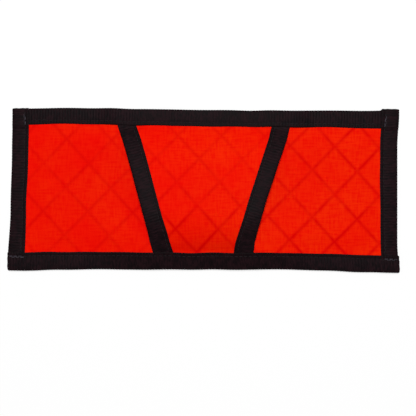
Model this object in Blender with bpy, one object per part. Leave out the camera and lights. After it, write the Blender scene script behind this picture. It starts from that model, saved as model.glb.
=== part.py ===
"""Hand warmer muff: a bound, insulated panel with a pass-through hand pocket sewn on its front.

The muff lies on its back. X runs along its length, Y up its height and Z out of its front.
Every cloth is drawn by its front face and thickened towards its back.
"""

import math

import bpy
from mathutils import Matrix, Vector
from mathutils.geometry import interpolate_bezier

MM = 0.001

# Overall sizes
PANEL_WIDTH = 400 * MM  # over the folds of the side tapes
PANEL_HEIGHT = 165 * MM  # over the folds of the top and bottom tapes

# Cloths
TAPE_WIDTH = 38 * MM  # of the flat binding tape, which is folded over each edge
TAPE_THICKNESS = 0.6 * MM
SHELL_THICKNESS = 0.4 * MM
BACK_THICKNESS = 0.4 * MM
CORE_THICKNESS = 1.2 * MM
LINING_THICKNESS = 1.5 * MM
THREAD_RADIUS = 0.25 * MM
CLEARANCE = 0.3 * MM  # between neighbouring pieces

# Pocket
MOUTH_TOP = 89 * MM  # from the middle to a mouth's edge at the top tape
MOUTH_BOTTOM = 51.5 * MM  # the same at the bottom tape
POCKET_RISE = 16 * MM  # of the crown over the hems
CROWN_SHARE = 0.36  # of the way up from the bottom hem to the top hem
HANDLE_SHARE = 0.45  # of each run that stays nearly level at its two ends
ARCH_STEPS = 12  # between a hem and the crown

# Seams
FOLD_RADIUS = 0.8 * MM  # inside a fold of tape
FOLD_STEPS = 3  # round each corner of a fold
FOLD_ROOM = 1.2 * MM  # from a fold to the cloth edges in it
LAP_OVERHANG = 2 * MM  # of a tape's end past the tape under it
LAP_RAMP = 3 * MM  # length over which a tape steps onto another
STITCH_INSET = 4.5 * MM  # from a tape's inner edge to its stitches
STITCH_END = 3 * MM  # from a mouth tape's end to its first stitch

# Heights, from the floor up. A tape's step is the room that it takes with its clearance.
STEP = TAPE_THICKNESS + CLEARANCE
TAPE_LOW = STEP
BACK_FRONT = TAPE_LOW + STEP + BACK_THICKNESS
CORE_FRONT = BACK_FRONT + CLEARANCE + CORE_THICKNESS
BASE_FRONT = CORE_FRONT + CLEARANCE + SHELL_THICKNESS
HEM_BACK = BASE_FRONT + CLEARANCE
HEM_FRONT = HEM_BACK + SHELL_THICKNESS
SIDE_HIGH = BASE_FRONT + STEP
HEMMED_HIGH = HEM_FRONT + STEP
SIDE_LAP_HIGH = HEMMED_HIGH + STEP
BOTTOM_LAP_HIGH = max(HEMMED_HIGH, SIDE_HIGH + STEP)

# The pocket's mouth tapes reach this far behind and in front of the back face of its shell
MOUTH_LOW = -(CLEARANCE + LINING_THICKNESS + STEP)
MOUTH_HIGH = SHELL_THICKNESS + STEP


def folded_leg(low, high):
    """Width that a folded tape shows on each face, when it wraps what lies between two heights."""
    return (TAPE_WIDTH - (high - low) + 2 * TAPE_THICKNESS) / 2


HEMMED_LEG = folded_leg(TAPE_LOW, HEMMED_HIGH)
SIDE_LEG = folded_leg(TAPE_LOW, SIDE_HIGH)
MOUTH_LEG = folded_leg(MOUTH_LOW, MOUTH_HIGH)

# Places across the panel
CLOTH_INSET = TAPE_THICKNESS + FOLD_ROOM
CLOTH_X = PANEL_WIDTH / 2 - CLOTH_INSET
CLOTH_Y = PANEL_HEIGHT / 2 - CLOTH_INSET
SIDE_INNER_X = PANEL_WIDTH / 2 - SIDE_LEG
HEM_Y = PANEL_HEIGHT / 2 - HEMMED_LEG
POCKET_Y = HEM_Y - CLEARANCE
MOUTH_SLOPE = (MOUTH_TOP - MOUTH_BOTTOM) / (2 * POCKET_Y)
MOUTH_SLANT = math.hypot(1, MOUTH_SLOPE)


def clear_scene():
    """Remove what a new file starts with."""
    for obj in list(bpy.data.objects):
        bpy.data.objects.remove(obj)


def finish(name, colour, roughness):
    """A cloth's material, with its colour in linear values."""
    material = bpy.data.materials.new(name)
    material.use_nodes = True
    shader = material.node_tree.nodes["Principled BSDF"]
    shader.inputs["Base Color"].default_value = (*colour, 1)
    shader.inputs["Roughness"].default_value = roughness
    shader.inputs["Metallic"].default_value = 0
    return material


def sheet(name, rows, thickness, material, flip=False):
    """A cloth over rows of points on its front face, thickened towards its back.

    The front is the side from which the points of a row and then the rows turn anticlockwise.
    """
    if flip:
        rows = rows[::-1]
    width = len(rows[0])
    faces = []
    for row in range(len(rows) - 1):
        for column in range(width - 1):
            start = row * width + column
            faces.append((start, start + 1, start + width + 1, start + width))
    mesh = bpy.data.meshes.new(name)
    mesh.from_pydata([point for row in rows for point in row], [], faces)
    mesh.materials.append(material)
    obj = bpy.data.objects.new(name, mesh)
    bpy.context.collection.objects.link(obj)
    solid = obj.modifiers.new("thickness", "SOLIDIFY")
    solid.thickness = thickness
    solid.offset = -1
    solid.use_even_offset = True
    solid.use_quality_normals = True
    return obj


def thread(name, path, material):
    """A seam's thread, laid along a path."""
    curve = bpy.data.curves.new(name, "CURVE")
    curve.dimensions = "3D"
    curve.bevel_depth = THREAD_RADIUS
    curve.bevel_resolution = 1
    curve.use_fill_caps = True
    spline = curve.splines.new("POLY")
    spline.points.add(len(path) - 1)
    for point, place in zip(spline.points, path):
        point.co = (*place, 1)
    curve.materials.append(material)
    obj = bpy.data.objects.new(name, curve)
    bpy.context.collection.objects.link(obj)
    return obj


def flat_cloth(name, front, thickness, material):
    """One of the base's rectangular layers."""
    rows = [[(x, y, front) for x in (-CLOTH_X, CLOTH_X)] for y in (-CLOTH_Y, CLOTH_Y)]
    return sheet(name, rows, thickness, material)


def fold_section(low, high, leg):
    """Outer face of a folded tape, from its front leg round the fold to its back leg.

    Each point is a depth in from the fold and a height.
    """
    radius = FOLD_RADIUS + TAPE_THICKNESS
    section = [(leg, high)]
    for corner, start in ((high - radius, 0), (low + radius, 90)):
        for step in range(FOLD_STEPS + 1):
            angle = math.radians(start + 90 * step / FOLD_STEPS)
            section.append((radius - radius * math.sin(angle), corner + radius * math.cos(angle)))
    section.append((leg, low))
    return section


def edge_binding(name, place, stations, leg, material, flip):
    """A tape folded over one edge of the panel.

    Place turns a distance along the edge, a depth and a height into a point. Each station is a
    distance along the edge with the tape's low and high faces there.
    """
    rows = []
    for along, low, high in stations:
        rows.append([place(along, depth, height) for depth, height in fold_section(low, high, leg)])
    return sheet(name, rows, TAPE_THICKNESS, material, flip)


def top_place(along, depth, height):
    """A point on the tape over the top edge."""
    return (along, PANEL_HEIGHT / 2 - depth, height)


def bottom_place(along, depth, height):
    """A point on the tape over the bottom edge."""
    return (along, depth - PANEL_HEIGHT / 2, height)


def left_place(along, depth, height):
    """A point on the tape over the left edge."""
    return (depth - PANEL_WIDTH / 2, along, height)


def right_place(along, depth, height):
    """A point on the tape over the right edge."""
    return (PANEL_WIDTH / 2 - depth, along, height)


def pocket_arch():
    """Stations up the back face of the pocket's shell, each a point with the way out of its front."""
    low = Vector((0, -POCKET_Y, HEM_BACK))
    high = Vector((0, POCKET_Y, HEM_BACK))
    crown = low.lerp(high, CROWN_SHARE) + Vector((0, 0, POCKET_RISE))
    points = []
    for start, end in ((low, crown), (crown, high)):
        handle = Vector((0, HANDLE_SHARE * (end.y - start.y), 0))
        points += interpolate_bezier(start, start + handle, end - handle, end, ARCH_STEPS + 1)[bool(points):]
    stations = []
    for index, point in enumerate(points):
        along = points[min(index + 1, len(points) - 1)] - points[max(index - 1, 0)]
        if index in (0, len(points) - 1):
            along = Vector((0, 1, 0))
        stations.append((point, Vector((0, -along.z, along.y)).normalized()))
    return stations


def mouth_x(y):
    """Distance from the middle to the outer edge of a mouth tape."""
    return MOUTH_BOTTOM + MOUTH_SLOPE * (y + POCKET_Y)


def pocket_point(station, x, lift):
    """A point of the pocket at a distance in front of its shell's back face."""
    point, out = station
    return (x, point.y + lift * out.y, point.z + lift * out.z)


def pocket_rows(lift):
    """Rows across the pocket between the folds of its mouth tapes."""
    rows = []
    for station in pocket_arch():
        edge = mouth_x(station[0].y) - CLOTH_INSET * MOUTH_SLANT
        rows.append([pocket_point(station, x, lift) for x in (-edge, edge)])
    return rows


def hem(name, y_start, y_end, material):
    """The part of the pocket's cloth that is caught under a tape."""
    rows = []
    for y in (y_start, y_end):
        edge = mouth_x(y) - CLOTH_INSET * MOUTH_SLANT
        rows.append([(x, y, HEM_FRONT) for x in (-edge, edge)])
    return sheet(name, rows, SHELL_THICKNESS, material)


def mouth_binding(name, side, material):
    """A tape folded over one slanted edge of the pocket, following its arch."""
    rows = []
    for station in pocket_arch():
        row = []
        for depth, lift in fold_section(MOUTH_LOW, MOUTH_HIGH, MOUTH_LEG):
            x = side * (mouth_x(station[0].y) - depth * MOUTH_SLANT)
            row.append(pocket_point(station, x, lift))
        rows.append(row)
    return sheet(name, rows, TAPE_THICKNESS, material, flip=side < 0)


def mouth_thread(name, side, lift, material):
    """A row of thread along a mouth tape, where it clears the base."""
    depth = (MOUTH_LEG - STITCH_INSET) * MOUTH_SLANT
    path = []
    for station in pocket_arch():
        y = station[0].y
        place = pocket_point(station, side * (mouth_x(y) - depth), lift)
        clear = place[2] - THREAD_RADIUS > HEM_BACK
        if clear and abs(y) < POCKET_Y - STITCH_END:
            path.append(place)
    return thread(name, path, material)


def base_cutter():
    """The base and the room over it, which takes away what the pocket has no height for."""
    size = Vector((PANEL_WIDTH, PANEL_HEIGHT, HEM_BACK))
    corners = [Vector((x, y, z)) * 0.5 for z in (-1, 1) for y in (-1, 1) for x in (-1, 1)]
    points = [Vector((c.x * size.x, c.y * size.y, (c.z + 0.5) * size.z)) for c in corners]
    faces = [(0, 2, 3, 1), (4, 5, 7, 6), (0, 1, 5, 4), (2, 6, 7, 3), (0, 4, 6, 2), (1, 3, 7, 5)]
    mesh = bpy.data.meshes.new("base_cutter")
    mesh.from_pydata(points, [], faces)
    cutter = bpy.data.objects.new("base_cutter", mesh)
    bpy.context.collection.objects.link(cutter)
    cutter.hide_render = True
    cutter.display_type = "WIRE"
    return cutter


def cut(obj, cutter):
    """Take the cutter away from a piece."""
    boolean = obj.modifiers.new("base_room", "BOOLEAN")
    boolean.operation = "DIFFERENCE"
    boolean.solver = "EXACT"
    boolean.object = cutter


def build_base(laminate, fleece, back_cloth):
    """The layers that lie flat, from the back to the front."""
    flat_cloth("back_panel", BACK_FRONT, BACK_THICKNESS, back_cloth)
    flat_cloth("base_insulation", CORE_FRONT, CORE_THICKNESS, fleece)
    flat_cloth("base_shell", BASE_FRONT, SHELL_THICKNESS, laminate)
    hem("pocket_top_hem", HEM_Y, CLOTH_Y, laminate)
    hem("pocket_bottom_hem", -CLOTH_Y, -HEM_Y, laminate)


def build_bindings(tape, sewing):
    """The four edge tapes with their threads. Side tapes lap the top one, and the bottom one laps them."""
    top_edge = PANEL_HEIGHT / 2
    side_edge = PANEL_WIDTH / 2
    hemmed = [(x, TAPE_LOW, HEMMED_HIGH) for x in (-CLOTH_X, CLOTH_X)]
    edge_binding("top_binding", top_place, hemmed, HEMMED_LEG, tape, flip=True)

    lap_x = SIDE_INNER_X - CLEARANCE
    bottom = [
        (side_edge + LAP_OVERHANG, 0, BOTTOM_LAP_HIGH),
        (lap_x, 0, BOTTOM_LAP_HIGH),
        (lap_x - LAP_RAMP, TAPE_LOW, HEMMED_HIGH),
    ]
    bottom = [(-x, low, high) for x, low, high in bottom] + bottom[::-1]
    edge_binding("bottom_binding", bottom_place, bottom, HEMMED_LEG, tape, flip=False)

    lap_y = HEM_Y - CLEARANCE
    side = [
        (-CLOTH_Y, TAPE_LOW, SIDE_HIGH),
        (lap_y - LAP_RAMP, TAPE_LOW, SIDE_HIGH),
        (lap_y, 0, SIDE_LAP_HIGH),
        (top_edge + LAP_OVERHANG, 0, SIDE_LAP_HIGH),
    ]
    edge_binding("left_binding", left_place, side, SIDE_LEG, tape, flip=True)
    edge_binding("right_binding", right_place, side, SIDE_LEG, tape, flip=False)

    lift = CLEARANCE + THREAD_RADIUS
    hemmed_depth = HEMMED_LEG - STITCH_INSET
    side_depth = SIDE_LEG - STITCH_INSET
    inner_x = SIDE_INNER_X - LAP_RAMP - 2 * CLEARANCE
    inner_y = lap_y - LAP_RAMP - CLEARANCE
    for name, place in (("top", top_place), ("bottom", bottom_place)):
        front = [place(x, hemmed_depth, HEMMED_HIGH + lift) for x in (-inner_x, inner_x)]
        back = [place(x, hemmed_depth, TAPE_LOW - lift) for x in (-inner_x, inner_x)]
        thread(name + "_needle_thread", front, sewing)
        thread(name + "_bobbin_thread", back, sewing)
    for name, place in (("left", left_place), ("right", right_place)):
        front = [place(y, side_depth, SIDE_HIGH + lift) for y in (-inner_y, inner_y)]
        back = [place(y, side_depth, TAPE_LOW - lift) for y in (-inner_y, inner_y)]
        thread(name + "_needle_thread", front, sewing)
        thread(name + "_bobbin_thread", back, sewing)


def build_pocket(laminate, fleece, tape, sewing):
    """The pocket's front, which stands off the base and lifts straight out to let hands in."""
    cutter = base_cutter()
    pieces = [sheet("pocket_shell", pocket_rows(SHELL_THICKNESS), SHELL_THICKNESS, laminate)]
    lining = sheet("pocket_lining", pocket_rows(-CLEARANCE), LINING_THICKNESS, fleece)
    cut(lining, cutter)
    pieces.append(lining)
    lift = CLEARANCE + THREAD_RADIUS
    for name, side in (("left_mouth", -1), ("right_mouth", 1)):
        binding = mouth_binding(name + "_binding", side, tape)
        cut(binding, cutter)
        pieces.append(binding)
        pieces.append(mouth_thread(name + "_needle_thread", side, MOUTH_HIGH + lift, sewing))
        pieces.append(mouth_thread(name + "_bobbin_thread", side, MOUTH_LOW - lift, sewing))
    gape = bpy.data.objects.new("pocket_gape", None)
    gape.location = (0, 0, HEM_BACK)
    bpy.context.collection.objects.link(gape)
    for piece in pieces:
        piece.parent = gape
        piece.matrix_parent_inverse = Matrix.Translation(-gape.location)


def main():
    """Build the muff."""
    clear_scene()
    laminate = finish("orange sailcloth laminate", (0.83, 0.009, 0.001), 0.6)
    tape = finish("black grosgrain", (0.012, 0.009, 0.01), 0.8)
    fleece = finish("charcoal fleece", (0.02, 0.02, 0.022), 0.95)
    back_cloth = finish("black pack cloth", (0.01, 0.01, 0.011), 0.7)
    sewing = finish("black thread", (0.015, 0.013, 0.014), 0.6)
    build_base(laminate, fleece, back_cloth)
    build_bindings(tape, sewing)
    build_pocket(laminate, fleece, tape, sewing)


main()
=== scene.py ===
"""Hand warmer muff, sewn from sailcloth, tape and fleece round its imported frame."""

import logging
import math
from dataclasses import dataclass, field
from enum import Enum
from typing import Any, Sequence

import bmesh
import bpy
import numpy as np
from bpy.types import ID, Material, Node, NodeSocket, NodeTree, Object
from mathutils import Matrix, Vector
from mathutils.geometry import interpolate_bezier


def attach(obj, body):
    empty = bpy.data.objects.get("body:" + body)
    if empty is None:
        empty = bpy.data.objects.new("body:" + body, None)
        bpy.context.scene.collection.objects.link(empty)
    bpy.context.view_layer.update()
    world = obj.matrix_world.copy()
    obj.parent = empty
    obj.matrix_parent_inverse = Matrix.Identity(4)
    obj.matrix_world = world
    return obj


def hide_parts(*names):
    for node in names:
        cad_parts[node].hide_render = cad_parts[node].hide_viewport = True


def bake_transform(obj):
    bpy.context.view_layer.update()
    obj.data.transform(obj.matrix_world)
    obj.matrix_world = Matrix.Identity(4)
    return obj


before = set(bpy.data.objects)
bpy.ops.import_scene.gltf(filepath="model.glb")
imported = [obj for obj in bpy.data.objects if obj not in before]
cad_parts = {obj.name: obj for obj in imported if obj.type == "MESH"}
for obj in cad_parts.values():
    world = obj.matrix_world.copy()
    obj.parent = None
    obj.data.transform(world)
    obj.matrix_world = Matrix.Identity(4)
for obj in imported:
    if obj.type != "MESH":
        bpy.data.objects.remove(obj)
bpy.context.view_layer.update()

LOG = logging.getLogger("muff")
MM = 0.001
SHARP_ANGLE = math.radians(50)
WAVE_PERIOD = math.pi / 10  # length of one band of the Wave texture at a scale of 1

Array = np.ndarray
Pair = tuple[float, float]
Stops = tuple[Pair, ...]
Corners = Sequence[Pair]


class Edge(Enum):
    """The four bound edges of the panel."""

    TOP = "top"
    BOTTOM = "bottom"
    LEFT = "left"
    RIGHT = "right"

    @property
    def upright(self) -> bool:
        """Whether the edge runs up the panel and not along it."""
        return self in (Edge.LEFT, Edge.RIGHT)

    @property
    def sign(self) -> int:
        """Which way the edge lies from the middle of the panel."""
        return 1 if self in (Edge.TOP, Edge.RIGHT) else -1


class Side(Enum):
    """The two hand mouths."""

    LEFT = -1
    RIGHT = 1


class Half(Enum):
    """The two halves of the pocket, which each bend from a sewn hem to the lifted middle."""

    LOWER = -1
    UPPER = 1


class Face(Enum):
    """The two faces of a seam: the needle thread shows on the front, the bobbin thread on the back."""

    NEEDLE = 1
    BOBBIN = -1


def linear(colour: str) -> tuple[float, float, float, float]:
    """Turn an sRGB hex colour, six digits after a hash, into linear values with an alpha of 1."""
    parts = [int(colour[i:i + 2], 16) / 255 for i in (1, 3, 5)]
    return (*(p / 12.92 if p <= 0.04045 else ((p + 0.055) / 1.055) ** 2.4 for p in parts), 1.0)


def plug(node: Node, sockets: dict[Any, Any]) -> None:
    """Set or link a node's inputs.

    Args:
        node: The node.
        sockets: Input name or number to a value, to an output, or to a node whose first output is linked.
    """
    for name, value in sockets.items():
        if isinstance(value, Node):
            value = next(output for output in value.outputs if output.enabled)
        if isinstance(value, NodeSocket):
            node.id_data.links.new(value, node.inputs[name])
        else:
            node.inputs[name].default_value = value


class NodeBench:
    """A node tree while its nodes are put in."""

    def __init__(self, tree: NodeTree) -> None:
        """Take a tree to work on."""
        self.tree = tree

    def add(self, kind: str, sockets: dict[Any, Any] | None = None, **settings: Any) -> Node:
        """Add a node with its settings and links.

        Args:
            kind: The node's type name, or what follows ShaderNode in it.
            sockets: Its inputs, as plug takes them.
            settings: The node's own options.

        Returns:
            The new node.
        """
        node = self.tree.nodes.new(kind if "Node" in kind else "ShaderNode" + kind)
        for name, value in settings.items():
            setattr(node, name, value)
        plug(node, sockets or {})
        return node


def smooth(values: Any, start: float, end: float) -> Array:
    """Ease from 0 at start, to 1 at an end that lies above or below it."""
    share = np.clip((np.asarray(values, float) - start) / (end - start), 0, 1)
    return share * share * (3 - 2 * share)


def in_mm(*stops: Pair) -> Stops:
    """Turn stops of place and offset from millimetres to metres."""
    return tuple((place * MM, offset * MM) for place, offset in stops)


def wander(stops: Stops, at: Array) -> Array:
    """Ease through stops of place and value, in rising order of place, and read the value at some places."""
    steps = [(b - a) * smooth(at, low, high) for (low, a), (high, b) in zip(stops, stops[1:])]
    return sum(steps, np.full(np.shape(at), stops[0][1], float))


@dataclass(frozen=True)
class MuffPlan:
    """Sizes that the pieces share, in metres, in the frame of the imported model."""

    width: float = 400 * MM
    height: float = 165 * MM
    tape_thickness: float = 0.6 * MM
    shell_thickness: float = 0.4 * MM
    lining_thickness: float = 1.5 * MM
    hemmed_leg: float = 17.05 * MM
    side_leg: float = 17.4 * MM
    mouth_leg: float = 17.9 * MM
    cloth_inset: float = 1.8 * MM
    tape_low: float = 0.9 * MM
    base_front: float = 4.4 * MM
    hem_back: float = 4.7 * MM
    lap_overhang: float = 2 * MM
    mouth_top: float = 89 * MM
    mouth_bottom: float = 51.5 * MM
    rise: float = 16 * MM
    crown_share: float = 0.36
    hem_handle: Pair = (0.17, 0.38)
    crown_handle: float = 0.47
    hem_bend: float = 2.5 * MM
    stitch_inset: float = 3.6 * MM
    split_y: float = -8 * MM
    arch_points: int = 60
    bend_samples: int = 9
    slope_step: float = 0.5 * MM

    @property
    def cloth_x(self) -> float:
        """Half the cut width of the flat cloths."""
        return self.width / 2 - self.cloth_inset

    @property
    def cloth_y(self) -> float:
        """Half the cut height of the flat cloths."""
        return self.height / 2 - self.cloth_inset

    @property
    def hem_y(self) -> float:
        """Distance from the middle to the inner edges of the top and bottom tapes."""
        return self.height / 2 - self.hemmed_leg

    @property
    def side_x(self) -> float:
        """Distance from the middle to the inner edges of the side tapes."""
        return self.width / 2 - self.side_leg

    @property
    def slope(self) -> float:
        """How far a mouth's edge moves out for each step up."""
        return (self.mouth_top - self.mouth_bottom) / (2 * self.hem_y)

    @property
    def slant(self) -> float:
        """Length of a mouth's edge for each step up."""
        return math.hypot(1, self.slope)

    def mouth_x(self, y: Any) -> Array:
        """Distance from the middle to a mouth's outer edge at a height up the panel."""
        return self.mouth_bottom + self.slope * (np.asarray(y, float) + self.hem_y)

    def window(self, x: Array, y: Array, reach: float) -> Array:
        """How free a point is of the edge tapes: 0 under them, 1 where it lies further in than the reach."""
        return smooth(self.side_x - np.abs(x), 0, reach) * smooth(self.hem_y - np.abs(y), 0, reach)

    def arch(self, y: Any) -> Array:
        """Height of the back face of the pocket's shell over the floor.

        The cloth springs up from each hem at a slant and rounds over at the crown.

        Args:
            y: Heights up the panel.

        Returns:
            The height over the floor at each.
        """
        hem = self.hem_y - self.hem_bend
        crown = Vector((0, (2 * self.crown_share - 1) * self.hem_y, self.hem_back + self.rise))
        points: list[Vector] = []
        for side in (-1, 1):
            start = Vector((0, side * hem, self.hem_back))
            run = Vector((0, crown.y - start.y, 0))
            leave = start + self.hem_handle[0] * run + Vector((0, 0, self.hem_handle[1] * self.rise))
            half = interpolate_bezier(start, leave, crown - self.crown_handle * run, crown, self.arch_points)
            points += half[::-side]
        bend = np.linspace(-self.hem_bend, self.hem_bend, self.bend_samples)
        around = np.asarray(y, float)[..., None] + bend
        return np.interp(around, [p.y for p in points], [p.z for p in points]).mean(axis=-1)

    def arch_slope(self, y: Array) -> Array:
        """Steepness of the arch at a height up the panel."""
        return (self.arch(y + self.slope_step) - self.arch(y - self.slope_step)) / (2 * self.slope_step)


PLAN = MuffPlan()


@dataclass(frozen=True)
class HandSewing:
    """How far the hand-guided edges wander from the ruled plan, as stops of place and offset.

    The sprung pocket also pulls up the inner edge of the bottom tape between the two mouths.
    """

    top: Stops = in_mm((-190, 1.5), (-128, 1.9), (-45, 0.3), (60, -0.9))
    bottom: Stops = in_mm((-190, -1.8), (-120, -0.6), (80, -0.7), (190, -4.0))
    left: Stops = in_mm((-78, -3.4), (-20, -0.3), (40, 1.2), (78, 1.9))
    right: Stops = in_mm((-82, 2.7), (-52, 1.0), (45, 1.0), (80, 2.7))
    pull: float = 4.5 * MM
    pull_reach: Pair = (130 * MM, 55 * MM)
    pull_end: float = -5 * MM
    waver: float = 0.2 * MM
    waver_length: float = 9 * MM
    waver_beat: float = 0.37
    waver_lag: float = 4.0

    def apply(self, points: Array) -> Array:
        """Move ruled points to where the sewing put them.

        Args:
            points: Rows of x, y and z.

        Returns:
            The moved points.
        """
        x, y = points[:, 0], points[:, 1]
        up = np.clip(y / PLAN.height + 0.5, 0, 1)
        across = np.clip(x / PLAN.width + 0.5, 0, 1)
        moved = points.copy()
        moved[:, 0] += wander(self.left, y) * (1 - across) + wander(self.right, y) * across
        moved[:, 1] += wander(self.bottom, x) * (1 - up) + wander(self.top, x) * up
        count = x / self.waver_length
        moved[:, 1] += self.waver * np.sin(count + np.sin(self.waver_beat * count + self.waver_lag * up))
        tilt = np.clip((y + PLAN.height / 2) / PLAN.hemmed_leg, 0, 1)
        between = smooth(np.abs(x), *self.pull_reach)
        moved[:, 2] += self.pull * between * tilt * smooth(y, self.pull_end, -PLAN.hem_y)
        return moved


SEWING = HandSewing()


def grid_faces(rows: int, columns: int) -> list[tuple[int, int, int, int]]:
    """Quads over a grid of points that are numbered row by row."""
    starts = [row * columns + column for row in range(rows - 1) for column in range(columns - 1)]
    return [(start, start + 1, start + columns + 1, start + columns) for start in starts]


def stand(name: str, data: ID, place: Sequence[float] = (0, 0, 0)) -> Object:
    """Put something in the scene.

    Args:
        name: Its name.
        data: Its mesh, lamp or camera.
        place: Where it stands.

    Returns:
        The new object.
    """
    thing = bpy.data.objects.new(name, data)
    thing.location = place
    bpy.context.collection.objects.link(thing)
    return thing


def new_piece(name: str, points: Array, faces: Sequence[Sequence[int]], material: Material) -> Object:
    """Make a piece from points of the ruled plan.

    Args:
        name: The piece's name.
        points: Rows of x, y and z.
        faces: Point numbers of each face.
        material: The piece's finish.

    Returns:
        The new object, sewn into place.
    """
    mesh = bpy.data.meshes.new(name)
    mesh.from_pydata(SEWING.apply(np.asarray(points, float)).tolist(), [], faces)
    mesh.materials.append(material)
    mesh.shade_smooth()
    return stand(name, mesh)


def mark(piece: Object, name: str, values: Array) -> None:
    """Store a number or a vector for each point of a piece.

    Args:
        piece: The piece.
        name: The attribute's name.
        values: One number or one row of three for each point.
    """
    values = np.asarray(values, np.float32)
    kind, part = ("FLOAT", "value") if values.ndim == 1 else ("FLOAT_VECTOR", "vector")
    attribute = piece.data.attributes.new(name, kind, "POINT")
    attribute.data.foreach_set(part, values.ravel())


def bake_modifiers(piece: Object) -> None:
    """Turn a piece and its modifiers into a plain mesh.

    Args:
        piece: The piece.
    """
    graph = bpy.context.evaluated_depsgraph_get()
    mesh = bpy.data.meshes.new_from_object(piece.evaluated_get(graph))
    piece.modifiers.clear()
    piece.data = mesh
    mesh.name = piece.name
    mesh.set_sharp_from_angle(angle=SHARP_ANGLE)


def thicken(piece: Object, thickness: float) -> None:
    """Give a cloth its thickness behind its front face, as a plain mesh.

    Args:
        piece: The piece, as a single layer.
        thickness: The cloth's thickness.
    """
    solid = piece.modifiers.new("thickness", "SOLIDIFY")
    solid.thickness = thickness
    solid.offset = -1
    solid.use_even_offset = False
    bake_modifiers(piece)


class ClothTree(NodeBench):
    """The nodes of one cloth's material, from the place of a point to the shader."""

    def __init__(self, name: str) -> None:
        """Start the material.

        Args:
            name: What the cloth is and how it was made.
        """
        self.material = bpy.data.materials.new(name)
        self.material.use_nodes = True
        super().__init__(self.material.node_tree)
        self.place = self.add("TexCoord").outputs["Object"]

    def weave(self, spacing: float, distortion: float, detail: float) -> Node:
        """Cross two sets of threads.

        Args:
            spacing: Distance between threads.
            distortion: How uneven they are.
            detail: How fine the unevenness is.

        Returns:
            The height of the weave, from 0 to 1.
        """
        threads = [self.add("TexWave", {
            "Vector": self.place, "Scale": WAVE_PERIOD / spacing, "Distortion": distortion, "Detail": detail,
        }, bands_direction=way).outputs["Fac"] for way in ("X", "Y")]
        return self.add("Math", {0: threads[0], 1: threads[1]}, operation="MULTIPLY")

    def two_tone(self, pattern: Node, dark: str, light: str) -> Node:
        """Colour the middle range of a noise from dark to light."""
        spread = self.add("MapRange", {"Value": pattern, "From Min": 0.3, "From Max": 0.7})
        return self.add("Mix", {"Factor": spread, "A": linear(dark), "B": linear(light)}, data_type="RGBA")

    def dress(self, colour: Node, height: Node, bump: Pair,
              wear: Node, rough: Pair, **levels: float) -> Material:
        """Give the shader its colour, relief and gloss.

        Args:
            colour: The cloth's colour.
            height: Its fine relief, from 0 to 1.
            bump: Strength and depth of that relief.
            wear: What the roughness follows, from 0 to 1.
            rough: The roughness where that is 0 and where it is 1.
            levels: Levels that are the same all over, by socket name with _ for a space.

        Returns:
            The finished material.
        """
        relief = self.add("Bump", {"Height": height, "Strength": bump[0], "Distance": bump[1]})
        matt = self.add("MapRange", {"Value": wear, "To Min": rough[0], "To Max": rough[1]})
        plug(self.tree.nodes["Principled BSDF"], {
            "Base Color": colour, "Normal": relief, "Roughness": matt,
            **{name.replace("_", " "): level for name, level in levels.items()}})
        return self.material


@dataclass(frozen=True)
class SailclothLaminate:
    """Woven nylon face laminated over a diamond grid of yarns, dyed orange-red."""

    orange: str = "#F43201"
    scarlet: str = "#EE0601"
    slub: str = "#E70501"
    yarn: str = "#D60000"
    thread_spacing: float = 1.3 * MM  # the real weave is about 0.4 mm, too fine to show
    weave_depth: float = 0.15 * MM
    streak: Pair = (14 * MM, 1.6 * MM)
    blotch: float = 45 * MM
    sunk_patch: float = 18 * MM
    dye_drift: float = 0.8  # share of the dye's range for each metre across, so the right end is more orange

    def material(self) -> Material:
        """Build the finish.

        Returns:
            The laminate's material.
        """
        # To the eye: a bright, even orange-red with a dull coated face and faint crossed streaks,
        # and darker slanting lines where the yarns show through.
        cloth = ClothTree("woven nylon sailcloth laminate")
        place = cloth.place
        streaks = []
        for wide, tall in (self.streak, self.streak[::-1]):
            drawn = cloth.add("Mapping", {"Vector": place, "Scale": (1 / wide, 1 / tall, 1)})
            streaks.append(cloth.add("TexNoise", {"Vector": drawn, "Scale": 1.0, "Detail": 2.0}))
        both = cloth.add("Math", {0: streaks[0], 1: streaks[1]}, operation="ADD")
        wear = cloth.add("MapRange", {"Value": both, "From Min": 0.85, "From Max": 1.25, "To Max": 0.8})
        blotches = cloth.add("TexNoise", {"Vector": place, "Scale": 1 / self.blotch, "Detail": 3.0})
        across = cloth.add("SeparateXYZ", {"Vector": place}).outputs["X"]
        drift = cloth.add("Math", {0: across, 1: self.dye_drift, 2: blotches}, operation="MULTIPLY_ADD")
        dye = cloth.add("MapRange", {"Value": drift, "From Min": 0.15, "From Max": 1.25})
        dyed = cloth.add("Mix", {
            "Factor": dye, "A": linear(self.scarlet), "B": linear(self.orange)}, data_type="RGBA")
        face = cloth.add("Mix", {"Factor": wear, "A": dyed, "B": linear(self.slub)}, data_type="RGBA")
        grid = cloth.add("Attribute", attribute_name="yarn").outputs["Fac"]
        sunk = cloth.add("TexNoise", {"Vector": place, "Scale": 1 / self.sunk_patch, "Detail": 1.0})
        shown = cloth.add("MapRange", {"Value": sunk, "From Min": 0.3, "From Max": 0.65, "To Min": 0.45})
        lines = cloth.add("Math", {0: grid, 1: shown}, operation="MULTIPLY")
        colour = cloth.add("Mix", {"Factor": lines, "A": face, "B": linear(self.yarn)}, data_type="RGBA")
        weave = cloth.weave(self.thread_spacing, distortion=0.6, detail=1.0)
        return cloth.dress(
            colour, weave, (0.35, self.weave_depth), wear, (0.6, 0.75), Specular_IOR_Level=0.012)


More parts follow.
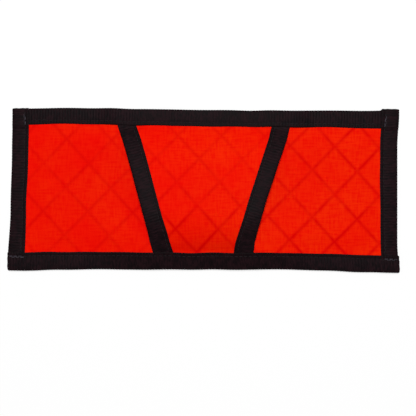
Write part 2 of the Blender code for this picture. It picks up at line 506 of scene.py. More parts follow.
@dataclass(frozen=True)
class Grosgrain:
    """Black woven grosgrain tape."""

    rib: str = "#0B0507"
    # Lighter tone, for random wear and for painted light on the ribs.
    wear_and_rib_light: str = "#1C0D11"
    # Painted shade for the free edges, where they curl down, and for the seam's groove.
    painted_edge_shade: str = "#0A0405"
    warp_spacing: float = 0.8 * MM  # the real warp is about 0.3 mm, too fine to show
    warp_depth: float = 0.12 * MM
    weft_spacing: float = 1.1 * MM  # the real weft is about 0.5 mm, too fine to show
    weft_length: float = 5 * MM
    patch: float = 9 * MM

    def material(self) -> Material:
        """Build the finish.

        Returns:
            The tape's material.
        """
        # To the eye: dull and nearly black, with stout uneven ribs across it, random patches of wear, bands
        # of painted light and shade on the ribs, and painted shade on the curled free edges and in the
        # seam's groove.
        cloth = ClothTree("woven black grosgrain")
        patches = cloth.add("TexNoise", {
            "Vector": cloth.place, "Scale": 1 / self.patch, "Detail": 4.0, "Roughness": 0.65})
        run = cloth.add("Attribute", attribute_name="run").outputs["Fac"]
        count = cloth.add("Math", {0: run, 1: 1 / self.weft_spacing}, operation="MULTIPLY")
        along = cloth.add("CombineXYZ", {"Z": count})
        drawn = cloth.add("VectorMath", {
            0: cloth.place, 1: (1 / self.weft_length,) * 3, 2: along}, operation="MULTIPLY_ADD")
        # Bands across the tape that paint the light and shade of the ribs into the colour.
        weft = cloth.add("TexNoise", {"Vector": drawn, "Scale": 1.0, "Detail": 1.0})
        uneven = cloth.add("Math", {0: patches, 1: weft}, operation="ADD")
        # Random wear patches plus the painted rib light and shade.
        wear_and_rib_light = cloth.add("MapRange", {"Value": uneven, "From Min": 0.85, "From Max": 1.2})
        ribs = cloth.add("Mix", {
            "Factor": wear_and_rib_light, "A": linear(self.rib), "B": linear(self.wear_and_rib_light)}, data_type="RGBA")
        # Painted shade: darker where the free edge curls down and along the seam's groove.
        edge = cloth.add("Attribute", attribute_name="painted_edge_shade").outputs["Fac"]
        colour = cloth.add("Mix", {"Factor": edge, "A": ribs, "B": linear(self.painted_edge_shade)}, data_type="RGBA")
        warp = cloth.add("TexNoise", {"Vector": cloth.place, "Scale": 1 / self.warp_spacing, "Detail": 1.0})
        return cloth.dress(
            colour, warp, (0.4, self.warp_depth), patches, (0.45, 0.6), Specular_IOR_Level=0.03)


@dataclass(frozen=True)
class BrushedFleece:
    """Knitted polyester fleece with a brushed face."""

    dark: str = "#121214"
    light: str = "#2C2B2F"
    tuft: float = 2.2 * MM
    depth: float = 0.8 * MM

    def material(self) -> Material:
        """Build the finish.

        Returns:
            The fleece's material.
        """
        # To the eye: a matt dark pile whose tufts catch a soft pale sheen.
        cloth = ClothTree("brushed polyester fleece")
        nap = cloth.add("TexNoise", {
            "Vector": cloth.place, "Scale": 1 / self.tuft, "Detail": 5.0, "Roughness": 0.6})
        colour = cloth.two_tone(nap, self.dark, self.light)
        return cloth.dress(colour, nap, (0.6, self.depth), nap, (0.82, 0.98),
                           Specular_IOR_Level=0.04, Sheen_Weight=0.3, Sheen_Roughness=0.5)


@dataclass(frozen=True)
class BondedThread:
    """Black polyester sewing thread, twisted from plies and bonded."""

    dark: str = "#151113"
    light: str = "#2B2527"
    # Pale colour painted on stitches as a glint.
    glint_colour: str = "#56515A"
    ply: float = 0.7 * MM  # the real plies are about 0.2 mm, too fine to show
    depth: float = 0.1 * MM

    def material(self) -> Material:
        """Build the finish.

        Returns:
            The thread's material.
        """
        # To the eye: a fine light and dark grain of twist, with the stitches over the laps painted paler as
        # a glint on the thread.
        cloth = ClothTree("twisted bonded polyester thread")
        twist = cloth.add("TexNoise", {"Vector": cloth.place, "Scale": 1 / self.ply, "Detail": 3.0})
        plies = cloth.two_tone(twist, self.dark, self.light)
        # Painted glint: the stitches that carry it are painted paler.
        painted_glint = cloth.add("Attribute", attribute_name="painted_glint").outputs["Fac"]
        colour = cloth.add("Mix", {"Factor": painted_glint, "A": plies, "B": linear(self.glint_colour)}, data_type="RGBA")
        return cloth.dress(colour, twist, (0.6, self.depth), twist, (0.42, 0.58), Specular_IOR_Level=0.04)


@dataclass(frozen=True)
class PackCloth:
    """Plain woven black nylon pack cloth."""

    thread: str = "#1C1B1E"
    # Painted shade for the gaps between the threads.
    shaded_gap: str = "#0B0B0C"
    thread_spacing: float = 1.1 * MM  # the real weave is about 0.5 mm, too fine to show
    depth: float = 0.2 * MM

    def material(self) -> Material:
        """Build the finish.

        Returns:
            The back cloth's material.
        """
        # To the eye: an even black grid of threads with a low gleam on their crowns, painted lighter into
        # the colour as well as given by the gloss, and painted shade in the gaps between them.
        cloth = ClothTree("plain woven nylon pack cloth")
        weave = cloth.weave(self.thread_spacing, distortion=0.4, detail=2.0)
        # Lighter on the crowns as painted gleam, darker in the gaps as painted shade.
        colour = cloth.add("Mix", {
            "Factor": weave, "A": linear(self.shaded_gap), "B": linear(self.thread)}, data_type="RGBA")
        return cloth.dress(colour, weave, (0.5, self.depth), weave, (0.75, 0.6), Specular_IOR_Level=0.3)


@dataclass
class Wardrobe:
    """The finishes that the pieces share."""

    laminate: Material = field(default_factory=SailclothLaminate().material)
    tape: Material = field(default_factory=Grosgrain().material)
    fleece: Material = field(default_factory=BrushedFleece().material)
    back_cloth: Material = field(default_factory=PackCloth().material)
    thread: Material = field(default_factory=BondedThread().material)


@dataclass(frozen=True)
class YarnGrid:
    """The laminate's diamond grid of yarns, which raises and darkens the face along two slants."""

    falling: float
    rising: float
    falling_pitch: float = 33.2 * MM
    rising_pitch: float = 33.0 * MM
    angles: Pair = (math.radians(47), math.radians(46))
    half_width: float = 2.9 * MM
    height: float = 0.2 * MM
    cells: int = 14
    margin: float = 20 * MM
    cut_gap: float = 1e-7
    weld_gap: float = 1e-6

    def _lines(self, phase: float, pitch: float, reach: float) -> Array:
        """Places across one slant: five at each yarn, and even steps between yarns.

        Args:
            phase: Place of one yarn.
            pitch: Distance between yarns.
            reach: How far the places go to each side.

        Returns:
            The places.
        """
        near = self.half_width * np.array([-1, -0.5, 0, 0.5, 1])
        between = np.linspace(self.half_width, pitch - self.half_width, self.cells)[1:-1]
        one = np.concatenate([near, between])
        first = math.floor((-reach - phase) / pitch)
        last = math.ceil((reach - phase) / pitch)
        return np.concatenate([phase + k * pitch + one for k in range(first, last + 1)])

    def _ridge(self, across: Array, phase: float, pitch: float) -> Array:
        """How near each place across one slant is to the middle of a yarn, from 0 to 1."""
        off = np.abs((across - phase + pitch / 2) % pitch - pitch / 2)
        return np.where(off < self.half_width, np.cos(off / self.half_width * math.pi / 2) ** 2, 0)

    def yarn(self, x: Array, y: Array) -> Array:
        """How near each point is to the middle of a yarn.

        Args:
            x: Places across the panel.
            y: Heights up it.

        Returns:
            From 0, between yarns, to 1.
        """
        fall, rise = self.angles
        down = self._ridge(x * math.sin(fall) + y * math.cos(fall), self.falling, self.falling_pitch)
        up = self._ridge(x * math.sin(rise) - y * math.cos(rise), self.rising, self.rising_pitch)
        return np.maximum(down, up)

    def cut(self, corners: Corners) -> tuple[Array, list[list[int]]]:
        """Lay the grid over a convex outline and trim it.

        Args:
            corners: The outline, anticlockwise.

        Returns:
            Points in the plane, and faces.
        """
        reach = max(math.hypot(*corner) for corner in corners)
        falling = self._lines(self.falling, self.falling_pitch, reach)
        rising = self._lines(self.rising, self.rising_pitch, reach)
        one, two = np.meshgrid(falling, rising, indexing="ij")
        fall, rise = self.angles
        x = (one * math.cos(rise) + two * math.cos(fall)) / math.sin(fall + rise)
        y = (one * math.sin(rise) - two * math.sin(fall)) / math.sin(fall + rise)
        low, high = np.min(corners, axis=0) - self.margin, np.max(corners, axis=0) + self.margin
        shown = ((x > low[0]) & (x < high[0]) & (y > low[1]) & (y < high[1])).ravel()
        faces = [face[::-1] for face in grid_faces(*one.shape) if all(shown[i] for i in face)]
        mesh = bpy.data.meshes.new("cut")
        mesh.from_pydata(np.stack([x.ravel(), y.ravel(), 0 * x.ravel()], axis=1).tolist(), [], faces)
        work = bmesh.new()
        work.from_mesh(mesh)
        bpy.data.meshes.remove(mesh)
        for (ax, ay), (bx, by) in zip(corners, [*corners[1:], corners[0]]):
            bmesh.ops.bisect_plane(
                work, geom=[*work.verts, *work.edges, *work.faces], dist=self.cut_gap, plane_co=(ax, ay, 0),
                plane_no=(by - ay, ax - bx, 0), clear_outer=True)
        loose = [vert for vert in work.verts if not vert.link_faces]
        bmesh.ops.delete(work, geom=loose, context="VERTS")
        bmesh.ops.remove_doubles(work, verts=work.verts, dist=self.weld_gap)
        work.verts.index_update()
        points = np.array([vert.co[:] for vert in work.verts])
        kept = [[vert.index for vert in face.verts] for face in work.faces]
        work.free()
        return points, kept


@dataclass
class BasePanel:
    """The three flat layers: sailcloth in front, a fleece core, and a plain back cloth."""

    wardrobe: Wardrobe
    crown: float = 1.3 * MM
    core_share: float = 0.6
    sag: float = 0.5 * MM
    back_front: float = 2.2 * MM
    back_thickness: float = 0.4 * MM
    core_front: float = 3.7 * MM
    core_thickness: float = 1.2 * MM
    clip: float = 5 * MM
    swell_reach: float = 22 * MM
    pocket_reach: Pair = (-4 * MM, 18 * MM)
    ripple: float = 0.3
    ripple_length: Pair = (31 * MM, 23 * MM)
    ripple_phase: Pair = (0.6, 1.1)
    cells: tuple[int, int] = (80, 36)
    grid: YarnGrid = YarnGrid(falling=-3.5 * MM, rising=-2.3 * MM, rising_pitch=33.9 * MM)
    yarn_reach: float = 3 * MM
    yarn_shows: Stops = ((-120 * MM, 0.62), (120 * MM, 1.0))

    def _relief(self, x: Array, y: Array) -> Array:
        """A low swell over the core with a few slow ripples, flat behind the pocket.

        Args:
            x: Places across the panel.
            y: Heights up it.

        Returns:
            The swell as a share of its crown.
        """
        waves = [np.sin(place / length + phase)
                 for place, length, phase in zip((x, y), self.ripple_length, self.ripple_phase)]
        clear = smooth(np.abs(x) - PLAN.mouth_x(y), *self.pocket_reach)
        return clear * PLAN.window(x, y, self.swell_reach) * (1 + self.ripple * (waves[0] * waves[1]))

    def _sailcloth(self) -> Object:
        """Make the front layer, with its yarns raised and its corners trimmed.

        Returns:
            The piece.
        """
        corner = [(PLAN.cloth_x - self.clip, PLAN.cloth_y), (PLAN.cloth_x, PLAN.cloth_y - self.clip)]
        right = [(x, -y) for x, y in corner] + corner[::-1]
        plane, faces = self.grid.cut(right + [(-x, -y) for x, y in right])
        x, y = plane[:, 0], plane[:, 1]
        yarn = self.grid.yarn(x, y)
        height = PLAN.base_front + self.crown * self._relief(x, y)
        height += self.grid.height * yarn * PLAN.window(x, y, self.yarn_reach)
        piece = new_piece("sailcloth_base", np.stack([x, y, height], axis=1), faces, self.wardrobe.laminate)
        mark(piece, "yarn", yarn * wander(self.yarn_shows, x))
        thicken(piece, PLAN.shell_thickness)
        return piece

    def _layer(self, name: str, front: float, thickness: float, swell: float,
               material: Material) -> Object:
        """Make one plain layer over an even grid.

        Args:
            name: The layer's name.
            front: Height of its front face.
            thickness: Its thickness.
            swell: How far it swells, or sags if below 0.
            material: Its finish.

        Returns:
            The piece.
        """
        columns, rows = (cells + 1 for cells in self.cells)
        xs = np.linspace(-PLAN.cloth_x, PLAN.cloth_x, columns)
        ys = np.linspace(-PLAN.cloth_y, PLAN.cloth_y, rows)
        y, x = [places.ravel() for places in np.meshgrid(ys, xs, indexing="ij")]
        points = np.stack([x, y, front + swell * self._relief(x, y)], axis=1)
        piece = new_piece(name, points, grid_faces(rows, columns), material)
        thicken(piece, thickness)
        return piece

    def build(self) -> list[Object]:
        """Build the layers.

        Returns:
            The three pieces.
        """
        shell = self._sailcloth()
        core = self._layer("fleece_core", self.core_front, self.core_thickness, self.crown * self.core_share,
                           self.wardrobe.fleece)
        back = self._layer("back_cloth", self.back_front, self.back_thickness, -self.sag,
                           self.wardrobe.back_cloth)
        for piece, node, slot, under in (
                (shell, "base_shell", "sailcloth", "fleece_core"),
                (core, "base_insulation", "fleece", "back_cloth"),
                (back, "back_panel", "back_cloth", "left_binding")):
            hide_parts(node)
            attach(piece, "base")
        return [shell, core, back]


class PieceTree(NodeBench):
    """A Geometry Nodes tree whose inputs are a shape, some sizes and a finish."""

    def __init__(self, name: str, *sizes: str) -> None:
        """Start the tree with its named inputs.

        Args:
            name: The tree's name.
            sizes: Names of the inputs that are sizes.
        """
        super().__init__(bpy.data.node_groups.new(name, "GeometryNodeTree"))
        sockets = self.tree.interface
        inputs = {"Geometry": "Geometry", **dict.fromkeys(sizes, "Float"), "Finish": "Material"}
        for label, kind in inputs.items():
            sockets.new_socket(label, in_out="INPUT", socket_type="NodeSocket" + kind)
        sockets.new_socket("Geometry", in_out="OUTPUT", socket_type="NodeSocketGeometry")
        self.given = self.add("NodeGroupInput").outputs

    def close(self, shape: Node) -> None:
        """End the tree with a real mesh that has its finish.

        Args:
            shape: The node that gives the shape.
        """
        real = self.add("GeometryNodeRealizeInstances", {"Geometry": shape})
        dressed = self.add("GeometryNodeSetMaterial", {"Geometry": real, "Material": self.given["Finish"]})
        self.add("NodeGroupOutput", {"Geometry": dressed})

    def put_on(self, piece: Object, values: dict[str, Any]) -> None:
        """Put the tree on a piece, with its inputs set through their identifiers.

        Args:
            piece: The piece.
            values: Input name to value.
        """
        modifier = piece.modifiers.new(self.tree.name, "NODES")
        modifier.node_group = self.tree
        for item in self.tree.interface.items_tree:
            if item.in_out == "INPUT" and item.name in values:
                modifier[item.identifier] = values[item.name]


@dataclass
class FoldedTape:
    """A tape folded over an edge, drawn in at its seam, with cross ribs that Geometry Nodes raise.

    The points of a leg go from its free edge past the seam to the fold.
    """

    rib_pitch: float = 2.9 * MM  # a real rib is about 1.5 mm, too fine to show
    rib_height: float = 0.17 * MM
    rib_samples: int = 5
    groove: float = 0.2 * MM
    fold_radius: float = 1.5 * MM
    fold_points: int = 9
    edge_points: tuple[float, ...] = (0.0, 0.6 * MM)
    seam_points: tuple[float, ...] = (-1.6 * MM, -0.8 * MM, 0.0, 0.8 * MM, 1.8 * MM)
    leg_shares: tuple[float, ...] = (0.45, 0.25)
    dips: tuple[float, ...] = (0.7, 0.1, 0, 0.6, 1, 0.6, 0, -0.3, -0.3)
    # How much painted shade each point of the section takes: most at the curled free edge, some in the
    # seam's groove.
    painted_edge_shade: tuple[float, ...] = (1, 0.6, 0.2, 0.25, 0.4, 0.1, 0, 0, 0)
    ribs: PieceTree = field(init=False)

    def __post_init__(self) -> None:
        """Build the tree that moves each point out by a half wave for each rib along the run."""
        self.ribs = tree = PieceTree("grosgrain_ribs", "Rib Pitch", "Rib Height")
        run = tree.add("GeometryNodeInputNamedAttribute", {"Name": "run"}, data_type="FLOAT")
        count = tree.add("Math", {0: run, 1: tree.given["Rib Pitch"]}, operation="DIVIDE")
        turn = tree.add("Math", {0: count, 1: math.pi}, operation="MULTIPLY")
        wave = tree.add("Math", {0: turn}, operation="SINE")
        swell = tree.add("Math", {0: wave}, operation="ABSOLUTE")
        lift = tree.add("Math", {0: swell, 1: tree.given["Rib Height"]}, operation="MULTIPLY")
        normal = tree.add("GeometryNodeInputNormal")
        out = tree.add("VectorMath", {0: normal, "Scale": lift}, operation="SCALE")
        tree.close(tree.add("GeometryNodeSetPosition", {"Geometry": tree.given["Geometry"], "Offset": out}))

    @property
    def step(self) -> float:
        """Distance between stations along a tape."""
        return self.rib_pitch / self.rib_samples

    def section(self, leg: Array, low: Array,
                high: Array) -> tuple[Array, Array, Array]:
        """Outer face of a folded tape at each station along it.

        Args:
            leg: Width that shows on each face at each station.
            low: Height of the back leg at each station.
            high: Height of the front leg at each station.

        Returns:
            Depth in from the fold, height, and the share of painted shade at the free edges and in the
            seam's groove, each as stations by points.
        """
        leg, low, high = leg[:, None], low[:, None], high[:, None]
        shift = np.concatenate([self.edge_points, PLAN.stitch_inset + np.array(self.seam_points)])
        dip = self.groove * np.array(self.dips)
        turn = np.radians(np.linspace(0, 180, self.fold_points))
        radius = np.minimum(self.fold_radius, (high - low) / 2)
        corner = np.where(turn <= math.pi / 2, high - radius, low + radius)
        legs = np.hstack([leg - shift, leg * self.leg_shares])
        depth = np.hstack([legs, radius - radius * np.sin(turn), legs[:, ::-1]])
        height = np.hstack([high - dip, corner + radius * np.cos(turn), low + dip[::-1]])
        near = np.concatenate([self.painted_edge_shade, 0 * turn, self.painted_edge_shade[::-1]])
        return depth, height, np.tile(near, (len(leg), 1))

    def make(self, name: str, points: Array, near: Array, run: Array, turned: bool,
             material: Material) -> Object:
        """Make a ribbed tape from its outer face.

        Args:
            name: The tape's name.
            points: Its outer face on the ruled plan, as stations by points of the section.
            near: Share of painted shade at each point, at the free edges and in the seam's groove.
            run: Distance of each station along the tape.
            turned: Whether the faces have to be turned over to look out.
            material: The tape's finish.

        Returns:
            The tape as a plain mesh.
        """
        faces = grid_faces(*near.shape)
        if turned:
            faces = [face[::-1] for face in faces]
        piece = new_piece(name, points.reshape(-1, 3), faces, material)
        # The painted shade at the free edges and in the seam's groove.
        mark(piece, "painted_edge_shade", near.ravel())
        mark(piece, "run", np.repeat(run, near.shape[1]))
        self.ribs.put_on(piece, {
            "Rib Pitch": self.rib_pitch, "Rib Height": self.rib_height, "Finish": material})
        thicken(piece, PLAN.tape_thickness)
        return piece


@dataclass
class StitchTree:
    """Geometry Nodes that lay one arched stitch on each point of a seam."""

    length: float = 3.4 * MM
    spacing: float = 4.8 * MM
    radius: float = 0.32 * MM
    sink: float = 0.35 * MM
    rise: float = 0.75 * MM
    bends: int = 5
    sides: int = 6
    tree: PieceTree = field(init=False)

    def __post_init__(self) -> None:
        """Build the tree, which bows a round strand and turns it along the seam and out of the cloth."""
        self.tree = tree = PieceTree("lock_stitches", "Stitch Length", "Thread Radius", "Sink", "Rise")
        half = tree.add("Math", {0: tree.given["Stitch Length"], 1: 0.5}, operation="MULTIPLY")
        back = tree.add("Math", {0: half, 1: -1.0}, operation="MULTIPLY")
        down = tree.add("Math", {0: tree.given["Sink"], 1: -1.0}, operation="MULTIPLY")
        strand = tree.add("GeometryNodeCurveQuadraticBezier", {
            "Resolution": self.bends,
            "Start": tree.add("CombineXYZ", {"X": back, "Z": down}),
            "Middle": tree.add("CombineXYZ", {"Z": tree.given["Rise"]}),
            "End": tree.add("CombineXYZ", {"X": half, "Z": down})})
        ring = tree.add("GeometryNodeCurvePrimitiveCircle", {
            "Resolution": self.sides, "Radius": tree.given["Thread Radius"]})
        stitch = tree.add("GeometryNodeCurveToMesh", {
            "Curve": strand, "Profile Curve": ring, "Fill Caps": True})
        rounded = tree.add("GeometryNodeSetShadeSmooth", {"Geometry": stitch})
        along, out = [
            tree.add("GeometryNodeInputNamedAttribute", {"Name": name}, data_type="FLOAT_VECTOR")
            for name in ("along", "out")]
        upright = tree.add("FunctionNodeAlignRotationToVector", {"Vector": out}, axis="Z")
        turned = tree.add("FunctionNodeAlignRotationToVector", {
            "Rotation": upright, "Vector": along}, axis="X", pivot_axis="Z")
        tree.close(tree.add("GeometryNodeInstanceOnPoints", {
            "Points": tree.given["Geometry"], "Instance": rounded, "Rotation": turned}))

    def sew(self, name: str, points: Array, along: Array, out: Array, painted_glint: Array,
            material: Material) -> Object:
        """Sew a row of stitches.

        Args:
            name: The row's name.
            points: Middle of each stitch on the ruled plan.
            along: Way that each stitch runs.
            out: Way out of the cloth at each stitch.
            painted_glint: How much each stitch is painted paler as a glint, from 0 to 1.
            material: The thread's finish.

        Returns:
            The row as a plain mesh.
        """
        piece = new_piece(name, points, [], material)
        for label, values in (("painted_glint", painted_glint), ("along", along), ("out", out)):
            mark(piece, label, values)
        self.tree.put_on(piece, {
            "Stitch Length": self.length, "Thread Radius": self.radius, "Sink": self.sink, "Rise": self.rise,
            "Finish": material})
        bake_modifiers(piece)
        return piece


@dataclass
class EdgeBinding:
    """The grosgrain tapes folded over the four edges, with their seams."""

    wardrobe: Wardrobe
    tape: FoldedTape
    stitches: StitchTree
    field_high: float = 5.1 * MM
    pocket_step: float = 0.75 * MM
    mouth_step: float = 1.05 * MM
    mouth_margin: float = 3 * MM
    lap_step: float = 0.8 * MM
    lap_low: float = 0.4 * MM
    left_overhang: float = PLAN.lap_overhang / 4
    bottom_overhang: Pair = (0.1 * MM, 0.9 * MM)
    ramp: float = 4 * MM
    mouth_ramp: float = 26 * MM
    drift: dict[Edge, Stops] = field(default_factory=lambda: {
        Edge.TOP: in_mm((-120, -0.5), (-20, 0.0), (130, 0.2), (185, 1.6)),
        Edge.BOTTOM: in_mm((-180, 1.4), (-60, 0.9), (120, 0.5)),
        Edge.LEFT: in_mm((-60, 0.0), (-30, -0.9), (30, -0.2)),
        Edge.RIGHT: in_mm((-40, 0.4), (60, 0.9))})
    flutter: Pair = (0.2 * MM, 0.12 * MM)
    flutter_length: Pair = (17 * MM, 7.3 * MM)
    frayed: float = 0.35 * MM
    fray_length: float = 1.5 * MM
    fray_seed: int = 7
    corner_pinch: float = 1.3 * MM
    corner_radius: float = 1.2 * MM
    end_share: float = 0.7
    proud: float = 0.02 * MM
    tack_stitches: int = 3
    tack_offset: float = 1.1 * MM
    tack_rise: float = 0.15 * MM
    glint_seed: int = 5

    def _leg(self, edge: Edge, along: Array) -> Array:
        """Width of a tape that shows on each face, which the folding by hand leaves uneven.

        Args:
            edge: The tape's edge.
            along: Places along it.

        Returns:
            The width at each place.
        """
        even = PLAN.side_leg if edge.upright else PLAN.hemmed_leg
        slow = self.flutter[0] * np.sin(along / self.flutter_length[0] + edge.sign)
        quick = self.flutter[1] * np.sin(along / self.flutter_length[1])
        return even + wander(self.drift[edge], along) + (slow + quick)

    def _run(self, edge: Edge) -> Pair:
        """Where a tape runs along its edge.

        Args:
            edge: The tape's edge.

        Returns:
            Its start and its end.
        """
        if edge is Edge.TOP:
            return -PLAN.cloth_x, PLAN.cloth_x
        if edge is Edge.BOTTOM:
            left, right = self.bottom_overhang
            return -PLAN.width / 2 - left, PLAN.width / 2 + right
        overhang = PLAN.lap_overhang if edge is Edge.RIGHT else self.left_overhang
        return -PLAN.cloth_y, PLAN.height / 2 + overhang

    def _levels(self, edge: Edge, along: Array) -> tuple[Array, Array]:
        """Heights of the back leg and the front leg along a tape.

        Args:
            edge: The tape's edge.
            along: Places along it.

        Returns:
            The low and the high faces.
        """
        low = np.full(along.shape, PLAN.tape_low)
        high = np.full(along.shape, self.field_high)
        out = np.abs(along)
        if edge.upright:
            lap = smooth(along, PLAN.hem_y - self.ramp, PLAN.hem_y)
        else:
            lap = smooth(out, PLAN.side_x - self.ramp, PLAN.side_x) * (edge is Edge.BOTTOM)
            mouth = float(PLAN.mouth_x(edge.sign * PLAN.hem_y))
            inner = mouth - PLAN.mouth_leg - self.mouth_margin
            over = smooth(out, mouth + self.mouth_ramp, mouth)
            high += over * (self.pocket_step + self.mouth_step * smooth(out, inner - self.mouth_ramp, inner))
        return low + (self.lap_low - low) * lap, high + self.lap_step * lap

    def _place(self, edge: Edge, along: Array, depth: Array, height: Array) -> Array:
        """Turn places along and in from an edge into points, with x, y and z on the last axis."""
        across = edge.sign * ((PLAN.width if edge.upright else PLAN.height) / 2 - depth)
        return np.stack([across, along, height] if edge.upright else [along, across, height], axis=-1)

    def _tape(self, edge: Edge) -> Object:
        """Make one tape.

        Args:
            edge: The tape's edge.

        Returns:
            The piece.
        """
        start, end = self._run(edge)
        along = np.arange(start, end, self.tape.step)
        low, high = self._levels(edge, along)
        leg = self._leg(edge, along)
        depth, height, near = self.tape.section(leg, low, high)
        fray = np.abs(np.random.default_rng(self.fray_seed).normal(0, self.frayed, depth.shape[1]))
        fray = fray + self.corner_pinch * np.exp(-depth / self.corner_radius)
        ends = np.exp((start - along) / self.fray_length) - np.exp((along - end) / self.fray_length)
        points = self._place(edge, along[:, None] + ends[:, None] * fray, depth, height)
        turned = edge in (Edge.TOP, Edge.LEFT)
        piece = self.tape.make(edge.value + "_tape", points, near, along - start, turned, self.wardrobe.tape)
        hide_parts(edge.value + "_binding")
        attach(piece, "base")
        return piece

    def _seam(self, edge: Edge, face: Face) -> Object:
        """Sew one row along a tape, with a few tacking stitches at the ends of its front.

        Args:
            edge: The tape's edge.
            face: The face that the row shows on.

        Returns:
            The piece.
        """
        start, end = self._run(edge)
        lap = PLAN.hem_y if edge.upright else PLAN.side_x
        if edge is Edge.TOP:
            start, end = -lap, lap
        if edge.upright:
            start = -lap
        if face is Face.BOBBIN:
            start, end = max(start, self.ramp - lap), min(end, lap - self.ramp)
        margin = self.stitches.spacing * self.end_share
        along = np.arange(start + margin, end - margin, self.stitches.spacing)
        inset = np.full(along.shape, PLAN.stitch_inset)
        proud = np.full(along.shape, self.proud)
        if face is Face.NEEDLE:
            tack = (np.arange(self.tack_stitches) + 0.5) * self.stitches.spacing
            along = np.concatenate([along, along[0] + tack, along[-1] - tack])
            inset = np.concatenate([inset, np.full(2 * len(tack), PLAN.stitch_inset + self.tack_offset)])
            proud = np.concatenate([proud, np.full(2 * len(tack), self.tack_rise)])
        low, high = self._levels(edge, along)
        height = high + proud if face is Face.NEEDLE else low - proud
        points = self._place(edge, along, self._leg(edge, along) - inset, height)
        run = np.tile((0.0, 1.0, 0.0) if edge.upright else (1.0, 0.0, 0.0), (len(along), 1))
        out = np.tile((0.0, 0.0, float(face.value)), (len(along), 1))
        # Stitches over the laps get a painted glint, random in strength.
        painted_glint = np.random.default_rng(self.glint_seed).random(len(along)) * (np.abs(along) > lap)
        name = f"{edge.value}_{face.name.lower()}"
        piece = self.stitches.sew(name + "_stitches", points, run, out, painted_glint, self.wardrobe.thread)
        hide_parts(name + "_thread")
        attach(piece, "base")
        return piece

    def build(self) -> list[Object]:
        """Build the tapes and their seams."""
        made = [self._tape(edge) for edge in Edge]
        return made + [self._seam(edge, face) for edge in Edge for face in Face]


